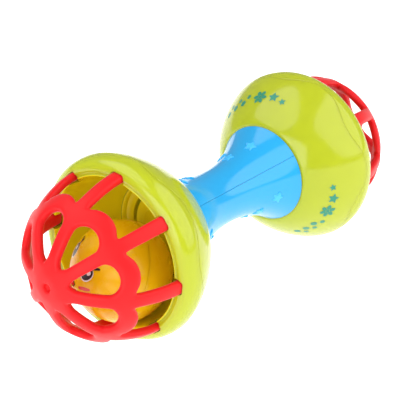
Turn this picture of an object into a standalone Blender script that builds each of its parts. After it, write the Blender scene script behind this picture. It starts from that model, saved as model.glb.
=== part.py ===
"""Baby rattle: a waisted two-part handle between two bulbs, each bulb a double-walled cup closed by a
soft openwork cage, with a loose rattle ball in each cup.

World frame: X along the rattle, from the front bulb (-X) to the back bulb (+X), +Z up, and the origin
on the ground under the middle of the handle. Both bulbs lie on the ground.
Each end is modelled in its own frame, whose +Z points outwards along the rattle's axis.
"""

import math

import bmesh
import bpy
from mathutils import Matrix, Vector

MM = 0.001
GAP = 0.3 * MM

# Driving dimensions, along the axis from the middle of the handle.
HALF_LENGTH = 81.0 * MM
BULB_RADIUS = 31.5 * MM
BULB_WIDEST_Z = 45.9 * MM
BULB_POWER = 1.49
SHELL_WALL = 1.8 * MM
SHELL_START_Z = 26.5 * MM
SHELL_HOLE_RADIUS = 17.0 * MM
SHELL_LIP = 1.5 * MM
# The inner wall follows the outer one this far behind, so that the wall keeps its thickness on the slope.
SHELL_INNER_LAG = 0.9 * MM

HANDLE_END_Z = 26.2 * MM
HANDLE_END_RADIUS = 17.3 * MM
WAIST_RADIUS = 9.7 * MM
WAIST_POWER = 2.2
HANDLE_WALL = 2.0 * MM
# The side of the cube that keeps one half of the turned handle.
HALF_SPACE = 80.0 * MM
WEB_START_Z = 22.0 * MM
WEB_END_Z = 24.0 * MM
WEB_HOLE_RADIUS = 10.1 * MM
BOSS_Z = 12.0 * MM
BOSS_RADIUS = 2.4 * MM
PEG_RADIUS = 1.2 * MM
PEG_LENGTH = 3.4 * MM
SOCKET_RADIUS = 1.5 * MM
SOCKET_DEPTH = 4.0 * MM

STAR_RADIUS = 2.4 * MM
STAR_HEIGHT = 0.4 * MM
STAR_DEPTH = 1.2 * MM
STAR_PLACES = ((-40, 18.4 * MM), (-9, 13.6 * MM), (20, 10.8 * MM), (40, 18.4 * MM))

SEAM_Z = 44.4 * MM
SEAM_WAVE = 1.9 * MM
SEAM_WAVES = 6
RIM_INNER_RADIUS = 25.9 * MM
RIM_TOP_Z = 52.1 * MM
RIM_POWER = 0.8

CAGE_RADIUS = 28.6 * MM
CAGE_START_Z = 50.5 * MM
CAGE_WALL = 2.8 * MM
CAGE_FOOT_Z = 47.4 * MM
NOTCH_INNER_RADIUS = 24.6 * MM
RIBS = 8
RIB_WIDTH_AT_RIM = 5.0 * MM
RIB_WIDTH_AT_HUB = 3.8 * MM
RING_AT_RIBS = 0.70
RING_AT_WINDOWS = 0.60
RING_HALF_WIDTH = 0.11
HUB_EDGE = 1.27
HUB_FLAT_RADIUS = 4.4 * MM
DIMPLE_RADIUS = 1.9 * MM
DIMPLE_FLOOR_RADIUS = 1.2 * MM
DIMPLE_DEPTH = 1.0 * MM

BALL_RADIUS = 16.55 * MM
BALL_WALL = 1.5 * MM
BALL_Z = 48.0 * MM
BALL_DROP = 8.07 * MM
BALL_FACE = Vector((-0.85, 0.351, 0.393))
BEAD_RADIUS = 2.0 * MM
BEAD_DISTANCE = 12.4 * MM
BEAD_TILT = math.radians(12.5)
BEADS = 3

PLUG_RADIUS = 11.1 * MM
PLUG_STEM_RADIUS = 7.7 * MM
PLUG_FACE_Z = 28.7 * MM

# How the rattle lies: the handle's parting plane is rolled from the horizontal.
ROLL = math.radians(-37.4)
CAGE_TURN = math.radians(-1.6)
SEGMENTS = 30
FACET = math.tau / SEGMENTS
# A facet of each bulb lies flat on the ground.
FACET_TURN = (-ROLL - FACET / 2) % FACET
AXIS_HEIGHT = BULB_RADIUS * math.cos(FACET / 2)


def clear_scene():
    for obj in list(bpy.data.objects):
        bpy.data.objects.remove(obj, do_unlink=True)


def new_collection(name):
    collection = bpy.data.collections.new(name)
    bpy.context.scene.collection.children.link(collection)
    return collection


def plastic(name, colour, roughness, coat=0.0):
    material = bpy.data.materials.new(name)
    material.use_nodes = True
    shader = material.node_tree.nodes["Principled BSDF"]
    shader.inputs["Base Color"].default_value = (*colour, 1.0)
    shader.inputs["Roughness"].default_value = roughness
    shader.inputs["Metallic"].default_value = 0.0
    shader.inputs["Coat Weight"].default_value = coat
    material.diffuse_color = (*colour, 1.0)
    return material


def empty(name, parent=None, matrix=None):
    pivot = bpy.data.objects.new(name, None)
    pivot.empty_display_size = 0.01
    parts.objects.link(pivot)
    pivot.parent = parent
    if matrix is not None:
        pivot.matrix_local = matrix
    return pivot


def add_object(name, bm, parent, material):
    """A part from a finished bmesh, shaded smooth except at its corners."""
    mesh = bpy.data.meshes.new(name)
    bm.to_mesh(mesh)
    bm.free()
    mesh.shade_smooth()
    mesh.set_sharp_from_angle(angle=math.radians(35))
    mesh.materials.append(material)
    obj = bpy.data.objects.new(name, mesh)
    parts.objects.link(obj)
    obj.parent = parent
    return obj


def add_cutter(name, bm, parent):
    mesh = bpy.data.meshes.new(name)
    bm.to_mesh(mesh)
    bm.free()
    cutter = bpy.data.objects.new(name, mesh)
    cutters.objects.link(cutter)
    cutter.parent = parent
    cutter.hide_render = True
    cutter.display_type = "WIRE"
    return cutter


def boolean(obj, cutter, operation):
    modifier = obj.modifiers.new(cutter.name, "BOOLEAN")
    modifier.operation = operation
    modifier.solver = "EXACT"
    modifier.object = cutter


def turned(outline, closed=True, segments=SEGMENTS, turn=0.0):
    """A bmesh turned about Z from (radius, z) points, given from the top down the outer side."""
    mesh = bpy.data.meshes.new("outline")
    links = [(i, i + 1) for i in range(len(outline) - 1)]
    if closed:
        links.append((len(outline) - 1, 0))
    mesh.from_pydata([(radius, 0.0, z) for radius, z in outline], links, [])
    guide = bpy.data.objects.new("outline", mesh)
    bpy.context.scene.collection.objects.link(guide)
    screw = guide.modifiers.new("turn", "SCREW")
    screw.axis = "Z"
    screw.angle = math.tau
    screw.steps = segments
    screw.render_steps = segments
    screw.use_merge_vertices = True
    screw.merge_threshold = 0.00001
    graph = bpy.context.evaluated_depsgraph_get()
    solid = bpy.data.meshes.new_from_object(guide.evaluated_get(graph))
    bpy.data.objects.remove(guide)
    bm = bmesh.new()
    bm.from_mesh(solid)
    bpy.data.meshes.remove(solid)
    bmesh.ops.remove_doubles(bm, verts=bm.verts, dist=0.000005)
    if closed:
        bmesh.ops.recalc_face_normals(bm, faces=bm.faces)
    bmesh.ops.rotate(bm, verts=bm.verts, cent=(0, 0, 0), matrix=Matrix.Rotation(turn, 3, "Z"))
    return bm


def cylinder(radius, start, end, segments=12):
    """A closed cylinder along X between two x values."""
    bm = bmesh.new()
    place = Matrix.Translation(((start + end) / 2, 0, 0)) @ Matrix.Rotation(math.pi / 2, 4, "Y")
    bmesh.ops.create_cone(bm, cap_ends=True, segments=segments, radius1=radius, radius2=radius,
                          depth=abs(end - start), matrix=place)
    return bm


def handle_radius(z):
    return WAIST_RADIUS + (HANDLE_END_RADIUS - WAIST_RADIUS) * abs(z / HANDLE_END_Z) ** WAIST_POWER


def handle_outline():
    """The hollow handle with a web near each end that holds a cup's neck."""
    steps = 12
    outer = [HANDLE_END_Z * (1 - 2 * i / steps) for i in range(steps + 1)]
    bore = [WEB_START_Z * (2 * i / 6 - 1) for i in range(7)]
    outline = [(handle_radius(z), z) for z in outer]
    outline += [(handle_radius(z) - HANDLE_WALL, z) for z in (-HANDLE_END_Z, -WEB_END_Z)]
    outline += [(WEB_HOLE_RADIUS, -WEB_END_Z), (WEB_HOLE_RADIUS, -WEB_START_Z)]
    outline += [(handle_radius(z) - HANDLE_WALL, z) for z in bore]
    outline += [(WEB_HOLE_RADIUS, WEB_START_Z), (WEB_HOLE_RADIUS, WEB_END_Z)]
    outline += [(handle_radius(z) - HANDLE_WALL, z) for z in (WEB_END_Z, HANDLE_END_Z)]
    return outline


def star_prism(bm, side, angle, z):
    """A five-pointed star standing on the handle at an angle from the middle of the half."""
    star = bmesh.ops.create_circle(bm, cap_ends=True, segments=10, radius=STAR_RADIUS)["verts"]
    for i, vert in enumerate(star):
        if i % 2:
            vert.co *= 0.5
    face = star[0].link_faces[0]
    top = bmesh.ops.extrude_face_region(bm, geom=[face])["geom"]
    raised = [item for item in top if isinstance(item, bmesh.types.BMVert)]
    bmesh.ops.translate(bm, verts=raised, vec=(0, 0, STAR_DEPTH + STAR_HEIGHT))
    slope = math.atan2(handle_radius(z + MM) - handle_radius(z - MM), 2 * MM)
    stand = Matrix.Translation((handle_radius(z) - STAR_DEPTH, 0, z)) @ Matrix.Rotation(
        math.pi / 2 + slope, 4, "Y")
    around = Matrix.Rotation(angle if side > 0 else math.pi + angle, 4, "Z")
    bmesh.ops.transform(bm, matrix=around @ stand, verts=star + raised)


def make_handle_half(name, side, parent):
    """One half of the handle: side +1 holds the sockets, side -1 the pegs."""
    half = add_object(name, turned(handle_outline()), parent, sky_blue)
    space = bmesh.new()
    bmesh.ops.create_cube(space, size=HALF_SPACE)
    bmesh.ops.translate(space, verts=space.verts, vec=(side * (HALF_SPACE + GAP) / 2, 0, 0))
    boolean(half, add_cutter(name + "_space", space, parent), "INTERSECT")
    stars = bmesh.new()
    for end in (-1, 1):
        for angle, z in STAR_PLACES:
            star_prism(stars, side, math.radians(angle), end * z)
    bmesh.ops.recalc_face_normals(stars, faces=stars.faces)
    boolean(half, add_cutter(name + "_stars", stars, parent), "UNION")
    for number, z in enumerate((-BOSS_Z, BOSS_Z), 1):
        reach = handle_radius(z) - HANDLE_WALL / 2
        boss = add_cutter(f"{name}_boss_{number}",
                          cylinder(BOSS_RADIUS, side * GAP / 2, side * reach), parent)
        boss.location.z = z
        boolean(half, boss, "UNION")
        if side > 0:
            hole = cylinder(SOCKET_RADIUS, -GAP, SOCKET_DEPTH)
            joint = add_cutter(f"{name}_socket_{number}", hole, parent)
        else:
            peg = cylinder(PEG_RADIUS, -BOSS_RADIUS, PEG_LENGTH)
            joint = add_cutter(f"{name}_peg_{number}", peg, parent)
        joint.location.z = z
        boolean(half, joint, "DIFFERENCE" if side > 0 else "UNION")


def bulb_radius(z):
    """Outer radius of a bulb between the handle and its widest place."""
    height = min(max((BULB_WIDEST_Z - z) / (BULB_WIDEST_Z - HANDLE_END_Z), 0.0), 1.0)
    turn = math.acos(height ** (1 / BULB_POWER))
    return HANDLE_END_RADIUS + (BULB_RADIUS - HANDLE_END_RADIUS) * math.sin(turn) ** BULB_POWER


def wave_edge(bm, edge_z):
    """Moves a flat edge at edge_z to the scalloped seam line, kept on the bulb's surface."""
    for vert in bm.verts:
        if abs(vert.co.z - edge_z) > 0.00001:
            continue
        angle = math.atan2(vert.co.y, vert.co.x)
        z = edge_z + SEAM_WAVE * math.cos(SEAM_WAVES * angle)
        radius = vert.co.xy.length
        scale = (radius + bulb_radius(z) - bulb_radius(edge_z)) / radius
        vert.co = (vert.co.x * scale, vert.co.y * scale, z)


def make_outer_shell(name, parent, side):
    """The rear wall of a bulb, from the handle to the seam."""
    edge_z = SEAM_Z - GAP / 2
    heights = [edge_z, 41.8 * MM, 38.0 * MM, 33.5 * MM, 29.8 * MM, 27.4 * MM]
    outer = [(bulb_radius(z), z) for z in heights] + [(SHELL_HOLE_RADIUS, SHELL_START_Z)]
    inner_heights = [28.8 * MM, 32.0 * MM, 36.5 * MM, 41.5 * MM]
    inner = [(SHELL_HOLE_RADIUS, SHELL_START_Z + SHELL_LIP)]
    inner += [(bulb_radius(z - SHELL_INNER_LAG) - SHELL_WALL, z) for z in inner_heights]
    inner += [(bulb_radius(edge_z) - SHELL_WALL, edge_z)]
    bm = turned(outer + inner, turn=FACET_TURN * side)
    wave_edge(bm, edge_z)
    add_object(name, bm, parent, lime_green)


def rim_point(turn):
    """A point of the rolled rim, from the bulb's widest place (0) to the mouth (90 degrees)."""
    radius = RIM_INNER_RADIUS + (BULB_RADIUS - RIM_INNER_RADIUS) * math.cos(turn) ** RIM_POWER
    return radius, BULB_WIDEST_Z + (RIM_TOP_Z - BULB_WIDEST_Z) * math.sin(turn) ** RIM_POWER


def rim_cup_outline():
    """The bezel, its rolled rim, the bowl inside it and the neck that the handle holds."""
    edge_z = SEAM_Z + GAP / 2
    rim = [rim_point(math.radians(turn)) for turn in (90, 68, 45, 24)]
    outer = rim + [(BULB_RADIUS, 46.9 * MM), (bulb_radius(edge_z), edge_z)]
    under = [(29.6, 44.55), (29.5, 47.4), (29.2, 49.4), (28.0, 50.3), (27.2, 49.4), (26.7, 47.0),
             (26.0, 43.0), (24.3, 38.4), (21.8, 33.8), (18.7, 29.9), (15.6, 27.1), (13.6, 26.6),
             (13.6, 25.7), (9.7, 25.7), (9.7, 21.5), (11.0, 21.5), (11.0, 20.3)]
    inside = [(8.0, 20.3), (8.0, 27.2), (12.2, 27.2), (12.2, 28.4), (14.2, 28.6), (17.2, 30.8),
              (20.6, 35.0), (23.1, 39.5), (24.6, 44.0), (25.3, 48.0), (25.5, 51.5)]
    return outer + [(radius * MM, z * MM) for radius, z in under + inside]


def make_rim_cup(name, parent, side):
    edge_z = SEAM_Z + GAP / 2
    bm = turned(rim_cup_outline(), turn=FACET_TURN * side)
    wave_edge(bm, edge_z)
    cup = add_object(name, bm, parent, lime_green)
    notches = bmesh.new()
    inner, outer = NOTCH_INNER_RADIUS, CAGE_RADIUS + GAP
    bottom, top = CAGE_FOOT_Z - GAP, RIM_TOP_Z + 2 * MM
    size = Vector((outer - inner, RIB_WIDTH_AT_RIM + 2 * GAP, top - bottom))
    for rib in range(RIBS):
        box = bmesh.ops.create_cube(notches, size=1.0)["verts"]
        place = (
            Matrix.Rotation(math.tau * rib / RIBS + CAGE_TURN * side, 4, "Z")
            @ Matrix.Translation(((inner + outer) / 2, 0, (bottom + top) / 2))
            @ Matrix.Diagonal((*size, 1.0))
        )
        bmesh.ops.transform(notches, matrix=place, verts=box)
    boolean(cup, add_cutter(name + "_notches", notches, parent), "DIFFERENCE")


def cage_curve(turn):
    """(radius, z) of the cage's outer face, from the rim (0) to the pole (90 degrees)."""
    height = HALF_LENGTH - CAGE_START_Z
    return CAGE_RADIUS * math.cos(turn), CAGE_START_Z + height * math.sin(turn)


def cage_row(row, across):
    """(radius, z) and rib width at a row of the cage, across from 0 at one rib's edge to 1 at the next."""
    bulge = math.sin(math.pi * min(max(across, 0.0), 1.0)) ** 0.7
    ring = RING_AT_RIBS + (RING_AT_WINDOWS - RING_AT_RIBS) * bulge
    turns = (0.0, 0.0, 0.3, ring - RING_HALF_WIDTH, ring + RING_HALF_WIDTH, 0.98, HUB_EDGE)
    hub = ((HUB_FLAT_RADIUS, HALF_LENGTH), (DIMPLE_RADIUS, HALF_LENGTH),
           (DIMPLE_FLOOR_RADIUS, HALF_LENGTH - DIMPLE_DEPTH), (0.0, HALF_LENGTH - DIMPLE_DEPTH))
    turn = turns[min(row, 6)]
    width = RIB_WIDTH_AT_RIM + (RIB_WIDTH_AT_HUB - RIB_WIDTH_AT_RIM) * turn / HUB_EDGE
    if row == 0:
        return (CAGE_RADIUS, CAGE_FOOT_Z), width, CAGE_RADIUS
    if row > 6:
        return hub[row - 7], width, cage_curve(HUB_EDGE)[0]
    radius, z = cage_curve(turn)
    return (radius, z), width, radius


def make_cage(name, parent, side):
    """Eight ribs, a flower ring that joins them and a hub, as one sheet with a wall thickness."""
    columns, rows = 6, 10
    sector = math.tau / RIBS
    bm = bmesh.new()
    bmesh.ops.create_grid(bm, x_segments=columns, y_segments=rows, size=1.0)
    windows = []
    for face in bm.faces:
        middle = face.calc_center_median()
        column = int((middle.x + 1) / 2 * columns)
        row = int((middle.y + 1) / 2 * rows)
        if 1 <= column <= 4 and row in (0, 1, 2, 4, 5):
            windows.append(face)
    bmesh.ops.delete(bm, geom=windows, context="FACES")
    for vert in bm.verts:
        column = round((vert.co.x + 1) / 2 * columns)
        row = round((vert.co.y + 1) / 2 * rows)
        across = (column - 1) / (columns - 2)
        (radius, z), width, rib_radius = cage_row(row, across)
        edge = math.asin(width / 2 / rib_radius)
        if column in (0, columns):
            angle = sector * column / columns
        else:
            angle = edge + (sector - 2 * edge) * across
        vert.co = (radius * math.cos(angle), radius * math.sin(angle), z)
    bmesh.ops.spin(bm, geom=bm.verts[:] + bm.edges[:] + bm.faces[:], cent=(0, 0, 0), axis=(0, 0, 1),
                   angle=sector * (RIBS - 1), steps=RIBS - 1, use_duplicate=True)
    bmesh.ops.remove_doubles(bm, verts=bm.verts, dist=0.000005)
    bmesh.ops.rotate(bm, verts=bm.verts, cent=(0, 0, 0),
                     matrix=Matrix.Rotation(CAGE_TURN * side, 3, "Z"))
    cage = add_object(name, bm, parent, soft_red)
    wall = cage.modifiers.new("wall", "SOLIDIFY")
    wall.thickness = CAGE_WALL
    wall.offset = -1.0


def make_base_plug(name, parent):
    """The disc in the bottom of the bowl, with the stem that closes the neck."""
    outline = [(0.0, PLUG_FACE_Z), (PLUG_RADIUS - 0.8 * MM, PLUG_FACE_Z),
               (PLUG_RADIUS, PLUG_FACE_Z - 0.5 * MM), (PLUG_RADIUS, PLUG_FACE_Z - 1.2 * MM),
               (PLUG_STEM_RADIUS, PLUG_FACE_Z - 1.2 * MM), (PLUG_STEM_RADIUS, 22.0 * MM),
               (0.0, 22.0 * MM)]
    add_object(name, turned(outline, closed=False, segments=20), parent, lime_green)


def make_ball_half(name, parent, face):
    """One half of the rattle ball: a hollow hemisphere about the face's direction, or its opposite."""
    steps = 4
    inner_radius = BALL_RADIUS - BALL_WALL
    outline = []
    for i in range(steps + 1):
        start = math.asin(GAP / 2 / BALL_RADIUS)
        turn = math.pi / 2 + (start - math.pi / 2) * i / steps
        outline.append((BALL_RADIUS * math.cos(turn), BALL_RADIUS * math.sin(turn)))
    for i in range(steps + 1):
        start = math.asin(GAP / 2 / inner_radius)
        turn = start + (math.pi / 2 - start) * i / steps
        outline.append((inner_radius * math.cos(turn), inner_radius * math.sin(turn)))
    outline[0] = (0.0, BALL_RADIUS)
    outline[-1] = (0.0, inner_radius)
    half = add_object(name, turned(outline, closed=False, segments=16), parent, warm_yellow)
    half.rotation_mode = "QUATERNION"
    half.rotation_quaternion = face.to_track_quat("Z", "Y")


def make_bead(name, parent, number):
    bm = bmesh.new()
    bmesh.ops.create_icosphere(bm, subdivisions=1, radius=BEAD_RADIUS)
    bead = add_object(name, bm, parent, bead_white)
    spread = Matrix.Rotation(math.tau * number / BEADS, 3, "Z") @ Matrix.Rotation(BEAD_TILT, 3, "Y")
    bead.location = spread @ Vector((0, 0, -BEAD_DISTANCE))


def make_end(name, frame, side):
    """The cup, cage, ball and beads of one end: side -1 is the front, +1 the back."""
    turn = Matrix.Rotation(0.0 if side > 0 else math.pi, 4, "X")
    end = empty(name + "_end", frame, turn)
    make_outer_shell(name + "_outer_shell", end, side)
    make_rim_cup(name + "_rim_cup", end, side)
    make_cage(name + "_cage", end, side)
    make_base_plug(name + "_base_plug", end)
    centre = Matrix.Translation((side * BALL_Z, 0, AXIS_HEIGHT - BALL_DROP))
    face = Vector((-side * BALL_FACE.x, BALL_FACE.y, BALL_FACE.z)).normalized()
    ball = empty(name + "_ball_centre", None, centre)
    make_ball_half(name + "_ball_face_half", ball, face)
    make_ball_half(name + "_ball_rear_half", ball, -face)
    for number in range(BEADS):
        make_bead(f"{name}_bead_{number + 1}", ball, number)


clear_scene()
parts = new_collection("baby_rattle")
cutters = new_collection("baby_rattle_cutters")
sky_blue = plastic("sky_blue", (0.045, 0.46, 0.84), 0.18, coat=0.3)
lime_green = plastic("lime_green", (0.60, 0.72, 0.03), 0.22, coat=0.3)
soft_red = plastic("soft_red", (0.90, 0.028, 0.04), 0.45)
warm_yellow = plastic("warm_yellow", (0.93, 0.48, 0.01), 0.25, coat=0.2)
bead_white = plastic("bead_white", (0.85, 0.84, 0.80), 0.4)

# The rattle's own Z lies along the world's X, and its own X is square to the handle's parting plane.
lying = Matrix.Rotation(ROLL, 4, "X") @ Matrix.Rotation(math.pi / 2, 4, "Y")
rattle = empty("rattle_axis", None, Matrix.Translation((0, 0, AXIS_HEIGHT)) @ lying)
make_handle_half("handle_lower_half", 1, rattle)
make_handle_half("handle_upper_half", -1, rattle)
make_end("front", rattle, -1)
make_end("back", rattle, 1)
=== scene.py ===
"""Baby rattle: the finished surfaces, built around the design model.

Each end is shaped in its own frame, whose +Z points outwards along the rattle's axis, and is then placed
in the world, where X runs along the rattle and the ground is at Z = 0. Lengths are in metres.
"""

import math

import bmesh
import bpy
from bpy.props import FloatProperty, FloatVectorProperty, IntProperty, PointerProperty
from mathutils import Matrix, Vector


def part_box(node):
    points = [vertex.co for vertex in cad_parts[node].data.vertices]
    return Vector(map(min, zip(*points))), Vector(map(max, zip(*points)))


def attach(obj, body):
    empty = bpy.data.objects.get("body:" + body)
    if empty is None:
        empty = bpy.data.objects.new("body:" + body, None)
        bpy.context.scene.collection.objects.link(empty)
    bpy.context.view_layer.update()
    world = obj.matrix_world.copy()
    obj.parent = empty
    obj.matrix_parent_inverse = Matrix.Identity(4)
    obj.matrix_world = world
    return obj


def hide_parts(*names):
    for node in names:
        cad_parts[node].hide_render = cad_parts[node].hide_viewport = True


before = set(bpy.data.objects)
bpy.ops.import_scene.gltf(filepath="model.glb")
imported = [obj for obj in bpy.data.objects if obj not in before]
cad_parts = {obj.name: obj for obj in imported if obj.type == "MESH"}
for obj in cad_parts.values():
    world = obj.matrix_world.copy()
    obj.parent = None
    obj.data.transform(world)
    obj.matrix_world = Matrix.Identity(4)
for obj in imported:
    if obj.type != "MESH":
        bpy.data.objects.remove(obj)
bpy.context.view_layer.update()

bl_info = {
    "name": "Baby rattle",
    "version": (1, 0, 0),
    "blender": (4, 5, 0),
    "location": "View3D > Sidebar > Rattle",
    "description": "Builds the finished surfaces of a two-ended baby rattle",
    "category": "Add Mesh",
}

MM = 0.001
CAGE_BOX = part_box("back_cage")
AXIS_HEIGHT = (CAGE_BOX[0].z + CAGE_BOX[1].z) / 2
ENDS = (("front", -1), ("back", 1))

# How the rattle lies, and how each cage is turned against its bulb.
ROLL = math.radians(-37.4)
CAGE_TURN = math.radians(-1.6)

# Heights nearer than this count as one, and points nearer than the second are merged.
SAME = 0.01 * MM
MERGE = 0.002 * MM

# The bulb and handle outlines, along the axis from the middle of the handle.
WAIST_POWER = 2.2
BULB_POWER = 1.49
RIM_POWER = 0.8
WEB_START_Z = 22.0 * MM
WEB_END_Z = 24.0 * MM
WEB_HOLE_RADIUS = 10.1 * MM
SHELL_HOLE_RADIUS = 17.0 * MM
SEAM_WAVES = 6
SEAM_REACH_BELOW = 10.0 * MM
SEAM_REACH_ABOVE = 5.4 * MM
RIM_INNER_RADIUS = 25.9 * MM
RIM_TOP_Z = 52.1 * MM

# Each raised star's angle round its handle half, in degrees, and its distance from the handle's middle.
STAR_PLACES = ((-40, 18.4 * MM), (-9, 13.6 * MM), (20, 10.8 * MM), (40, 18.4 * MM))

# The cage. Its ring, fillets and hub are placed by the turn along its outline, in radians from the rim.
RIBS = 8
CAGE_FOOT_Z = 47.4 * MM
RING_AT_RIBS = 0.70
RING_AT_WINDOWS = 0.60
RING_HALF_WIDTH = 0.115
FILLET_REACH = 0.07
HUB_EDGE = 1.27
HUB_FLAT_RADIUS = 4.4 * MM

# How deep light goes into the milky plastics.
MILKY_DEPTH = 4.0 * MM

# How far the print on each bulb is from the handle's middle.
PRINT_Z = 34.3 * MM


class RattleSizes(bpy.types.PropertyGroup):
    half_length: FloatProperty(
        name="Half length", description="From the middle of the handle to a cage's hub",
        default=CAGE_BOX[1].x, unit="LENGTH")
    bulb_radius: FloatProperty(
        name="Bulb radius", description="Outer radius of a bulb at its widest place",
        default=AXIS_HEIGHT, unit="LENGTH")
    bulb_widest: FloatProperty(
        name="Bulb widest at", description="Distance of the widest place from the handle's middle",
        default=45.9 * MM, unit="LENGTH")
    handle_end: FloatProperty(
        name="Handle end at", description="Distance of the handle's end from its middle",
        default=26.2 * MM, unit="LENGTH")
    handle_end_radius: FloatProperty(
        name="Handle end radius", description="Radius where the handle meets a bulb",
        default=17.3 * MM, unit="LENGTH")
    waist_radius: FloatProperty(
        name="Waist radius", description="Radius of the grip at its middle",
        default=9.7 * MM, unit="LENGTH")
    wall: FloatProperty(
        name="Wall", description="Wall thickness of the moulded shells",
        default=1.8 * MM, unit="LENGTH")
    joint_gap: FloatProperty(
        name="Joint gap", description="Width of the fine line where two mouldings meet",
        default=0.03 * MM, unit="LENGTH")
    edge_round: FloatProperty(
        name="Edge rounding", description="Rounding along the edges of the moulded shells",
        default=0.16 * MM, unit="LENGTH")
    seam_z: FloatProperty(
        name="Seam at", description="Mean distance of the scalloped seam from the handle's middle",
        default=44.4 * MM, unit="LENGTH")
    seam_wave: FloatProperty(
        name="Seam wave", description="How far the seam swings to each side",
        default=1.9 * MM, unit="LENGTH")
    segments: IntProperty(
        name="Segments", description="Steps round a bulb", default=192, min=48, max=384)


class RattleCageSizes(bpy.types.PropertyGroup):
    radius: FloatProperty(
        name="Cage radius", description="Outer radius of the cage at the rim",
        default=28.6 * MM, unit="LENGTH")
    start: FloatProperty(
        name="Cage starts at", description="Where the ribs leave the rim",
        default=50.5 * MM, unit="LENGTH")
    wall: FloatProperty(
        name="Cage thickness", description="Thickness of the ribs, the ring and the hub",
        default=2.8 * MM, unit="LENGTH")
    rib_at_rim: FloatProperty(
        name="Rib width at the rim", description="Width of a rib where it enters its pocket",
        default=5.3 * MM, unit="LENGTH")
    rib_at_hub: FloatProperty(
        name="Rib width at the hub", description="Width of a rib where it runs into the hub",
        default=4.3 * MM, unit="LENGTH")
    pocket_round: FloatProperty(
        name="Pocket rounding", description="Rounding of the outer corners of a rib's pocket",
        default=1.4 * MM, unit="LENGTH")
    edge_hold: FloatProperty(
        name="Edge hold", description="How far the soft edges keep to their corners, from 0 to 1",
        default=0.10, min=0, max=1)
    dimple_radius: FloatProperty(
        name="Dimple radius", description="Radius of the dimple in the hub",
        default=1.5 * MM, unit="LENGTH")
    dimple_depth: FloatProperty(
        name="Dimple depth", description="Depth of the dimple in the hub",
        default=1.3 * MM, unit="LENGTH")


class RattleBallSizes(bpy.types.PropertyGroup):
    radius: FloatProperty(
        name="Ball radius", description="Outer radius of a rattle ball",
        default=16.55 * MM, unit="LENGTH")
    wall: FloatProperty(
        name="Ball wall", description="Wall thickness of a rattle ball",
        default=1.5 * MM, unit="LENGTH")
    seam_gap: FloatProperty(
        name="Seam gap", description="Width of the line where a ball's halves meet",
        default=0.006 * MM, unit="LENGTH")
    seam_round: FloatProperty(
        name="Seam rounding", description="Rounding along a ball's seam",
        default=0.03 * MM, unit="LENGTH")
    print_lift: FloatProperty(
        name="Print thickness", description="How far the printed ink stands on a surface",
        default=0.03 * MM, unit="LENGTH")


class RattleColours(bpy.types.PropertyGroup):
    handle_blue: FloatVectorProperty(
        name="Handle blue", description="Colour of the handle", subtype="COLOR",
        default=(0.018, 0.37, 0.75), min=0, max=1)
    bulb_green: FloatVectorProperty(
        name="Bulb green", description="Colour of the bulbs", subtype="COLOR",
        default=(0.45, 0.505, 0.014), min=0, max=1)
    cage_red: FloatVectorProperty(
        name="Cage red", description="Colour of the soft cages", subtype="COLOR",
        default=(0.74, 0.006, 0.009), min=0, max=1)
    # Painted light: the inside of a bulb is the same green plastic as its outside, drawn brighter and
    # warmer for the light that comes through the wall and off the yellow ball.
    bowl_lit_green: FloatVectorProperty(
        name="Bowl lit green", description="Colour inside the bulbs, where light comes through the wall",
        subtype="COLOR", default=(0.83, 0.77, 0.006), min=0, max=1)
    ball_yellow: FloatVectorProperty(
        name="Ball yellow", description="Colour of the rattle balls", subtype="COLOR",
        default=(0.97, 0.58, 0.003), min=0, max=1)
    bead_white: FloatVectorProperty(
        name="Bead white", description="Colour of the beads in the balls", subtype="COLOR",
        default=(0.85, 0.84, 0.80), min=0, max=1)
    print_teal: FloatVectorProperty(
        name="Print teal", description="Ink of the print on the bulbs", subtype="COLOR",
        default=(0.012, 0.26, 0.16), min=0, max=1)


def sizes():
    return bpy.context.scene.rattle_sizes


def cage_sizes():
    return bpy.context.scene.rattle_cage_sizes


def ball_sizes():
    return bpy.context.scene.rattle_ball_sizes


# ---------------------------------------------------------------- outlines


def handle_radius(z):
    """Radius of the handle's outside at a height, widening from the waist to its ends."""
    size = sizes()
    spread = size.handle_end_radius - size.waist_radius
    return size.waist_radius + spread * abs(z / size.handle_end) ** WAIST_POWER


def bulb_point(turn):
    """(radius, z) on a bulb's outside, from the handle (0) to the widest place (90 degrees)."""
    size = sizes()
    width, length = size.bulb_radius - size.handle_end_radius, size.bulb_widest - size.handle_end
    return (size.handle_end_radius + width * math.sin(turn) ** BULB_POWER,
            size.bulb_widest - length * math.cos(turn) ** BULB_POWER)


def bulb_turn(z):
    """The turn along a bulb's outline at a height."""
    size = sizes()
    height = (size.bulb_widest - z) / (size.bulb_widest - size.handle_end)
    return math.acos(min(max(height, 0.0), 1.0) ** (1 / BULB_POWER))


def rim_point(turn):
    """(radius, z) on the rolled rim, from the bulb's widest place (0) to the mouth (90 degrees)."""
    size = sizes()
    radius = RIM_INNER_RADIUS + (size.bulb_radius - RIM_INNER_RADIUS) * math.cos(turn) ** RIM_POWER
    return radius, size.bulb_widest + (RIM_TOP_Z - size.bulb_widest) * math.sin(turn) ** RIM_POWER


def outside_radius(z):
    """Radius of the whole bulb's outside at a height, over the seam and the rim."""
    size = sizes()
    if z <= size.bulb_widest:
        return bulb_point(bulb_turn(z))[0]
    height = (z - size.bulb_widest) / (RIM_TOP_Z - size.bulb_widest)
    return rim_point(math.asin(min(height, 1.0) ** (1 / RIM_POWER)))[0]


def cage_point(turn):
    """(radius, z) of the cage's outer face, from the rim (0) to the pole (90 degrees)."""
    size = cage_sizes()
    return (size.radius * math.cos(turn),
            size.start + (sizes().half_length - size.start) * math.sin(turn))


def spread(start, stop, steps):
    """Evenly spaced values from start to stop, both included."""
    return [start + (stop - start) * i / steps for i in range(steps + 1)]


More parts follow.
